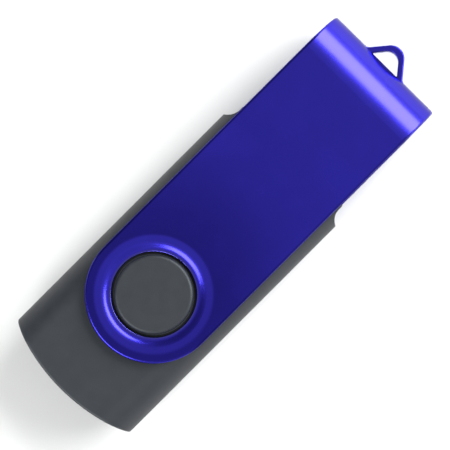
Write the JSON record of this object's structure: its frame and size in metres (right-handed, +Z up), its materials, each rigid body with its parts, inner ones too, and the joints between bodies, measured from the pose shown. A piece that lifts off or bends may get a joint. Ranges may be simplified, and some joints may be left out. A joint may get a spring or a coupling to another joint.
{
  "type": "usb flash drive",
  "caption": "Swivel USB flash drive: rounded plastic body with a USB-A plug, and a folded sheet-metal cover with a key loop that turns on a round boss.",
  "frame": {"origin": "centre of the drive's bounding box, on the plane of the cover's lower face that it rests on", "axes": "+X from the rear of the body to the plug and the key loop, +Z up along the swivel axis, +Y across"},
  "size_m": [0.0574, 0.019, 0.0106],
  "materials": {
    "blue_anodised_aluminium": "satin blue anodising over a fine blasted grain",
    "grey_abs": "dark grey moulded plastic, very fine texture",
    "plated_steel": "nickel plated",
    "black_plastic": "moulded, matte",
    "gold_contact": "gold flash over nickel",
    "green_laminate": "green solder mask over glass-fibre laminate",
    "epoxy_package": "moulded epoxy",
    "tinned_lead": "tin plated",
    "crystal_ceramic": "fired ceramic",
    "led_resin": "clear resin over a white base",
    "ferrite": "fired ferrite",
    "capacitor_ceramic": "fired ceramic",
    "resistor_ceramic": "glazed black film on ceramic"
  },
  "bodies": {
    "body": {"upper_shell": "grey_abs", "lower_shell": "grey_abs", "plug_shell": "plated_steel", "plug_insulator": "black_plastic", "plug_contact_power": "gold_contact", "plug_contact_data_minus": "gold_contact", "plug_contact_data_plus": "gold_contact", "plug_contact_ground": "gold_contact", "circuit_board": "green_laminate", "controller_chip": "epoxy_package", "controller_leads": "tinned_lead", "memory_chip": "epoxy_package", "memory_leads": "tinned_lead", "voltage_regulator": "epoxy_package", "regulator_leads": "tinned_lead", "crystal_base": "crystal_ceramic", "crystal_lid": "plated_steel", "status_led": "led_resin", "ferrite_bead": "ferrite", "capacitors": "capacitor_ceramic", "capacitor_ends": "tinned_lead", "resistors": "resistor_ceramic", "resistor_ends": "tinned_lead", "solder_joints": "tinned_lead"},
    "cover": {"swivel_cover": "blue_anodised_aluminium"}
  },
  "joints": [
    {"name": "cover_swivel", "type": "hinge", "parent": "body", "child": "cover", "pos_m": [-0.0129, 0, 0.0053], "axis": [0, 0, 1], "continuous": true}
  ]
}
